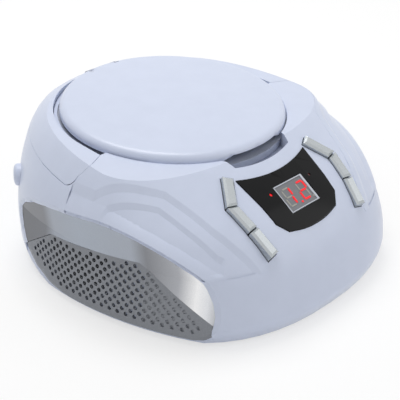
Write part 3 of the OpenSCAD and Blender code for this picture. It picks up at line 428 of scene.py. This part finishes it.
rows = skinSet["rows"]
skin = bmesh.new()
lines = []
for turn in np.radians(np.arange(*skinSet["turns"])):
    span = skinSpan(turn)
    if span:
        spots = onSection(np.full(rows, turn), np.linspace(*span, rows))
        lines.append([skin.verts.new(spot / 1000) for spot in spots])
for one, two in zip(lines, lines[1:]):
    for k in range(rows - 1):
        skin.faces.new((one[k], one[k + 1], two[k + 1], two[k]))
for crest, bevel in zip((stepSet["upper"], stepSet["lower"]), stepSet["bevel"]):
    for a, b in zip(crest, crest[1:]):
        for foot in (0, bevel):
            cutMesh(skin, skin.faces[:], Vector((a[0], a[1], 0)) + outwardOf(a, b) * foot, outwardOf(a, b))
spots = np.array([v.co for v in skin.verts]) * 1000
for vert, drop in zip(skin.verts, letDown(*spots.T)):
    vert.co.z -= (drop - skinSet["lift"]) / 1000
bmesh.ops.recalc_face_normals(skin, faces=skin.faces[:])
if sum(f.normal.z * f.calc_area() for f in skin.faces) < 0:
    bmesh.ops.reverse_faces(skin, faces=skin.faces[:])
skinMesh = bpy.data.meshes.new("shoulderSkin")
skin.to_mesh(skinMesh)
skin.free()

# Top cover: its own faces near the form give way to the skin. Close to the speaker wall only those that face
# outwards do, and the deck stays. The tall faces of the rear wall are cut across, so that it looks evenly round
coverSet = {"angle": 22, "share": 0.7, "aboveFoot": 0.5, "rear": 9.9, "beyond": 30.0, "heights": (20, 86, 4),
            "search": (-1.5, 6.0), "rounds": 26, "near": (-0.4, 2.2), "deck": -0.1, "facing": 0.5, "wall": 3.0}
coverFoot = skinSet["foot"] + coverSet["aboveFoot"]
cover = wholeCopy("top_cover", "coverShell", "casing", coverSet["angle"])
work = bmesh.new()
work.from_mesh(cover.data)


def cutCover(place, direction, rear=False):
    # one straight cut through the sides of the cover or through its rear wall
    middles = [f.calc_center_median() for f in work.faces]
    near = [f for f, m in zip(work.faces, middles) if (m.y if rear else abs(m.x)) > coverSet["beyond"] / 1000]
    cutMesh(work, near, place, direction)


inner = drawnIn(coverSet["share"])
for side in (-1, 1):
    for a, b in zip(inner, inner[1:]):
        outward = outwardOf(a, b)
        cutCover((side * a[0], a[1], 0), (side * outward.x, outward.y, 0))
cutCover((0, 0, coverFoot), (0, 0, 1))
cutCover((0, coverSet["rear"], 0), (0, 1, 0))
for height in range(*coverSet["heights"]):
    cutCover((0, 0, height), (0, 0, 1), rear=True)
work.verts.index_update()

# how deep each corner lies below the form, first straight up and then squarely
spots = np.array([v.co for v in work.verts]) * 1000
low, high = [np.full(len(spots), limit) for limit in coverSet["search"]]
low, high = halve(low, high, coverSet["rounds"],
                  lambda rise: formLevel(spots[:, 0], spots[:, 1], spots[:, 2] + rise) < 1)
rises = (low + high) / 2
tops = spots.copy()
tops[:, 2] += rises
depth = rises * formNormal(tops, False)[:, 2]
close = (depth > coverSet["near"][0]) & (depth < coverSet["near"][1])
below = aboveDeck(spots) < coverSet["deck"]

middles = np.array([f.calc_center_median() for f in work.faces]) * 1000
onRight = np.abs(middles) * [1, 0, 1] + middles * [0, 1, 0]
wall = podSet["radius"] - podOut(onRight, podSet["leans"][0])[1]
facing = (np.array([f.normal for f in work.faces]) * formNormal(middles, False)).sum(axis=1)
under = (beyondCrest(inner, onRight[:, 0], onRight[:, 1]) > 0) & (middles[:, 1] < coverSet["rear"])
under &= (middles[:, 2] > coverFoot) & (wall > 0)
under &= (facing > coverSet["facing"]) | (wall > coverSet["wall"])
gone = [f for f, u in zip(work.faces, under) if u and all(close[v.index] for v in f.verts)
        and any(below[v.index] for v in f.verts)]
bmesh.ops.delete(work, geom=gone, context="FACES")
work.to_mesh(cover.data)
work.free()
print("cover faces taken away:", len(gone))
pick(cover)
bpy.ops.object.shade_smooth_by_angle(angle=math.radians(coverSet["angle"]))
shadeOnForm(cover, False)

for side, word in ((1, "right"), (-1, "left")):
    mesh = skinMesh.copy()
    if side < 0:
        mesh.transform(Matrix.Diagonal((-1, 1, 1, 1)))
        mesh.flip_normals()
    shoulder = addPiece(word + "Shoulder", mesh)
    shoulder.data.materials.append(whiteAbs)
    wall = shoulder.modifiers.new("wall", "SOLIDIFY")
    wall.thickness = skinSet["thick"] / 1000
    wall.offset = -1
    bpy.ops.object.modifier_apply(modifier="wall")
    bpy.ops.object.shade_smooth_by_angle(angle=math.radians(skinSet["angle"]))
    shadeOnForm(shoulder, True)
    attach(shoulder, "casing")
print("shoulders made")

# Other casing pieces: the angle below which their faces shade as one
smoothSet = {"casing": 22, "round": 40, "speaker": 20, "lensReach": 0.04}  # the lens stands a little proud
tub = wholeCopy("base_tub", "baseShell", "casing", smoothSet["casing"])
shadeOnForm(tub, False)
grip = wholeCopy("handle", "carryHandle", "handle", smoothSet["casing"])
shadeOnForm(grip, False)
lens = wholeCopy("display_lens", "displayWindow", "casing", smoothSet["casing"])
shadeOnForm(lens, False, smoothSet["lensReach"])
wholeCopy("lid", "roundLid", "lid", smoothSet["round"])
wholeCopy("volume_knob", "volumeDial", "volume", smoothSet["round"])
for side, word in ((-1, "left"), (1, "right")):
    shadeOnPod(wholeCopy(word + "_trim", word + "TrimBand", "casing", smoothSet["speaker"]), side)
    shadeOnPod(wholeCopy(word + "_grille", word + "GrilleSheet", "casing", smoothSet["speaker"]), side)
print("casing pieces smoothed")

# Figure display: a pale frame round its face, and the segments and the point that aren't lit
displaySet = {"middle": (0, -75.9, 64.35), "tilt": 34.0, "face": -0.5, "soften": 0.08,
              "width": 24.6, "height": 18.6, "bar": 0.6, "sideBar": 1.5, "frameRise": 0.45,
              "length": 4.8, "thick": 0.9, "pitch": 5.6, "rise": 0.2, "figures": 6.2,
              "point": (10.2, -6.0, 0.6), "pointSides": 16,
              "places": [(0, 1, 0), (0.5, 0.5, 90), (0.5, -0.5, 90), (0, -1, 0), (-0.5, -0.5, 90),
                         (-0.5, 0.5, 90), (0, 0, 0)],
              "unlit": {-1: (0, 3, 4, 5, 6), 1: (2, 5)}}
panelTurn = Matrix.Rotation(math.radians(displaySet["tilt"]), 4, "X")
onPanel = Matrix.Translation(Vector(displaySet["middle"]) / 1000) @ panelTurn


def raiseOnPanel(piece, name, rise, material):
    # thickens a flat piece upwards, softens its upper edges and lays it on the panel
    piece.name = name
    bpy.ops.object.mode_set(mode="EDIT")
    bpy.ops.mesh.select_all(action="SELECT")
    bpy.ops.mesh.extrude_region_move(TRANSFORM_OT_translate={"value": (0, 0, rise / 1000)})
    bpy.ops.mesh.bevel(offset=displaySet["soften"] / 1000, segments=2)
    bpy.ops.mesh.select_all(action="SELECT")
    bpy.ops.mesh.normals_make_consistent(inside=False)
    bpy.ops.object.mode_set(mode="OBJECT")
    piece.data.transform(onPanel @ Matrix.Translation((0, 0, displaySet["face"] / 1000)))
    piece.data.materials.append(material)
    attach(piece, "casing")


bpy.ops.object.select_all(action="DESELECT")
bpy.ops.mesh.primitive_plane_add(size=1)
rim = bpy.context.object
rim.scale = (displaySet["width"] / 1000, displaySet["height"] / 1000, 1)
bpy.ops.object.transform_apply(location=False, rotation=False, scale=True)
bpy.ops.object.mode_set(mode="EDIT")
bpy.ops.mesh.select_all(action="SELECT")
bpy.ops.mesh.inset(thickness=displaySet["bar"] / 1000)
bpy.ops.mesh.delete(type="ONLY_FACE")
bpy.ops.object.mode_set(mode="OBJECT")
for vert in rim.data.vertices:  # the bar on the right is wider
    if 0 < vert.co.x * 1000 < displaySet["width"] / 2 - displaySet["bar"] / 2:
        vert.co.x = (displaySet["width"] / 2 - displaySet["sideBar"]) / 1000
raiseOnPanel(rim, "displayRim", displaySet["frameRise"], paleFrame)

corners, outlines = [], []
half, width = displaySet["length"] / 2, displaySet["thick"] / 2
shape = [(-half, 0), (-half + width, width), (half - width, width), (half, 0), (half - width, -width),
         (-half + width, -width)]
for side, unlit in displaySet["unlit"].items():
    for number in unlit:
        along, across, turn = displaySet["places"][number]
        middleX = side * displaySet["figures"] + along * displaySet["pitch"] + across  # the figures lean
        middleY = across * displaySet["pitch"]
        outline = [(y, x) if turn else (x, -y) for x, y in shape]
        outlines.append(list(range(len(corners), len(corners) + len(outline))))
        corners += [((middleX + x) / 1000, (middleY + y) / 1000, 0) for x, y in outline]
x, y, radius = displaySet["point"]
outlines.append(list(range(len(corners), len(corners) + displaySet["pointSides"])))
for k in range(displaySet["pointSides"]):
    turn = 2 * math.pi * k / displaySet["pointSides"]
    corners.append(((x + radius * math.cos(turn)) / 1000, (y + radius * math.sin(turn)) / 1000, 0))
dimMesh = bpy.data.meshes.new("dimSegments")
dimMesh.from_pydata(corners, [], outlines)
raiseOnPanel(addPiece("dimSegments", dimMesh), "dimSegments", displaySet["rise"], dimSegment)
print("display dressed")

# Floor, world and lamps, each lamp with its place, size and power
stageSet = {"floorSize": 6.0, "paper": "#F4F4F4", "paperRoughness": 0.9, "floorGlow": 1.1, "floorShare": 0.55,
            "worldLight": 0.52, "aim": (0, 0, 0.05),
            "lamps": {"keyLamp": ((0.15, 0.4, 1.25), 0.7, 7.8), "fillLamp": ((0.6, -0.9, 0.7), 0.9, 1.7)}}
bpy.ops.object.select_all(action="DESELECT")
bpy.ops.mesh.primitive_plane_add(size=stageSet["floorSize"], location=(0, 0, 0))
floor = bpy.context.object
floor.name = "studioFloor"
# Matt white paper: about half of what the camera sees of it glows, so it stays white and keeps a light shadow
paper = bpy.data.materials.new("mattPaper")
paper.use_nodes = True
tree = paper.node_tree
matt = tree.nodes["Principled BSDF"]
matt.inputs["Base Color"].default_value = srgb(stageSet["paper"])
matt.inputs["Roughness"].default_value = stageSet["paperRoughness"]
glow = addNode(tree, "ShaderNodeEmission", (0, 250), {"Strength": stageSet["floorGlow"]})
path = addNode(tree, "ShaderNodeLightPath", (-400, 400))
seen = addNode(tree, "ShaderNodeMath", (-200, 400), {"operation": "MAXIMUM"},
               {0: path.outputs["Is Camera Ray"], 1: path.outputs["Is Glossy Ray"]})
share = addNode(tree, "ShaderNodeMath", (0, 400), {"operation": "MULTIPLY"}, {0: seen.outputs[0]})
share.inputs[1].default_value = stageSet["floorShare"]
blend = addNode(tree, "ShaderNodeMixShader", (250, 200),
                links={0: share.outputs[0], 1: matt.outputs[0], 2: glow.outputs[0]})
tree.links.new(blend.outputs[0], tree.nodes["Material Output"].inputs["Surface"])
floor.data.materials.append(paper)

# The world lights softly and looks white
world = bpy.data.worlds.new("studioWorld")
bpy.context.scene.world = world
world.use_nodes = True
tree = world.node_tree
soft = tree.nodes["Background"]
soft.inputs["Color"].default_value = (1, 1, 1, 1)
soft.inputs["Strength"].default_value = stageSet["worldLight"]
white = addNode(tree, "ShaderNodeBackground", (0, -200), {"Color": (1, 1, 1, 1), "Strength": 1.0})
path = addNode(tree, "ShaderNodeLightPath", (-600, 300))
seen = addNode(tree, "ShaderNodeMath", (-400, 300), {"operation": "MAXIMUM"},
               {0: path.outputs["Is Camera Ray"], 1: path.outputs["Is Glossy Ray"]})
through = addNode(tree, "ShaderNodeMath", (-200, 300), {"operation": "MAXIMUM"},
                  {0: seen.outputs[0], 1: path.outputs["Is Transmission Ray"]})
blend = addNode(tree, "ShaderNodeMixShader", (200, 100),
                links={0: through.outputs[0], 1: soft.outputs[0], 2: white.outputs[0]})
tree.links.new(blend.outputs[0], tree.nodes["World Output"].inputs["Surface"])

for name, (place, size, power) in stageSet["lamps"].items():
    bpy.ops.object.light_add(type="AREA", location=place)
    lamp = bpy.context.object
    lamp.name = name
    lamp.data.size = size
    lamp.data.energy = power
    lamp.rotation_euler = (Vector(stageSet["aim"]) - Vector(place)).to_track_quat("-Z", "Y").to_euler()

cameraSet = {"place": (-0.3993, -0.3855, 0.3426), "azimuth": -45.847, "elevation": 29.404, "lens": 89.23,
             "sensor": 36.0, "nearest": 0.01}
bpy.ops.object.camera_add(location=cameraSet["place"])
camera = bpy.context.object
camera.name = "photoCamera"
camera.data.sensor_width = cameraSet["sensor"]
camera.data.lens = cameraSet["lens"]
camera.data.clip_start = cameraSet["nearest"]
turn = math.radians(cameraSet["azimuth"])
rise = math.radians(cameraSet["elevation"])
away = Vector((math.sin(turn) * math.cos(rise), -math.cos(turn) * math.cos(rise), math.sin(rise)))
camera.rotation_euler = away.to_track_quat("Z", "Y").to_euler()
bpy.context.scene.camera = camera
bpy.context.scene.view_settings.view_transform = "Standard"
print("camera and light set")
